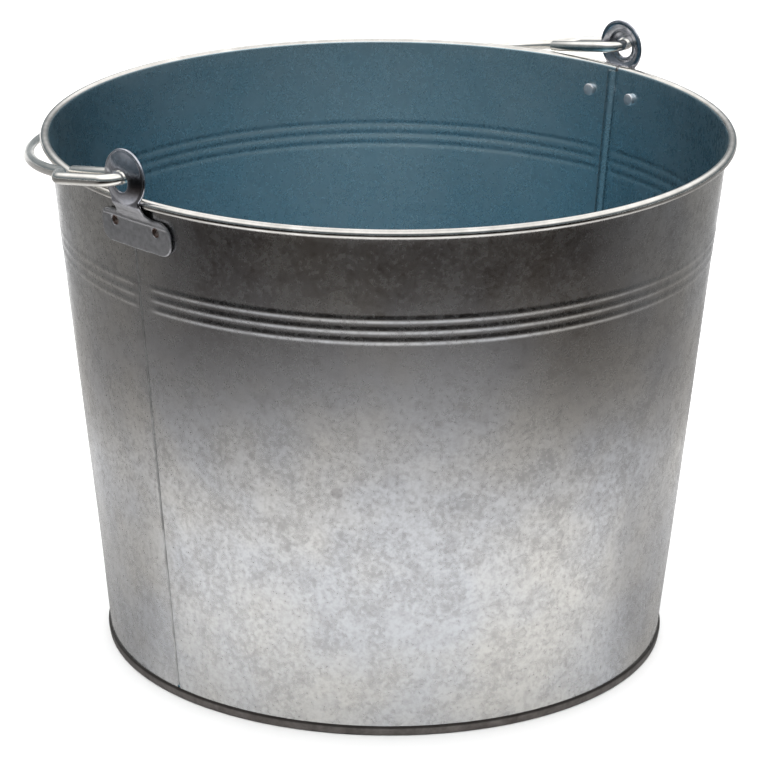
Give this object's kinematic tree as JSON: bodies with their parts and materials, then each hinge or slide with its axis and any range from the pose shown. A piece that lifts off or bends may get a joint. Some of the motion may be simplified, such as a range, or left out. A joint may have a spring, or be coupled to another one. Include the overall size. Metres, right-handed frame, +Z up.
{
  "type": "pail",
  "caption": "Tapered galvanised sheet pail with rolled rim, ridged wall, folded side seams, seamed foot, riveted ears and a hinged wire bail.",
  "frame": {"origin": "on the pail's axis, in the plane of the foot's flat ring that stands on the floor", "axes": "+Z up along the pail's axis; the two ears lie on -X and +X and the bail turns about a line along X; the bail is folded down towards +Y"},
  "size_m": [0.345, 0.3261, 0.2682],
  "materials": {
    "zinc_sheet": "hot-dip galvanised, dull spangle",
    "plain_wire": "plain drawn steel wire",
    "bright_zinc": "bright zinc plate",
    "rivet_steel": "dull steel"
  },
  "bodies": {
    "pail": {"wall_front": "zinc_sheet", "wall_rear": "zinc_sheet", "rim_wire": "plain_wire", "bottom_plate": "zinc_sheet", "ear_left": "bright_zinc", "ear_right": "bright_zinc", "ear_rivets": "rivet_steel"},
    "handle": {"bail": "bright_zinc"}
  },
  "joints": [
    {"name": "bail_pivot", "type": "hinge", "parent": "pail", "child": "handle", "pos_m": [0, 0, 0.2555], "axis": [1, 0, 0], "range_deg": [0, 200.2]}
  ]
}
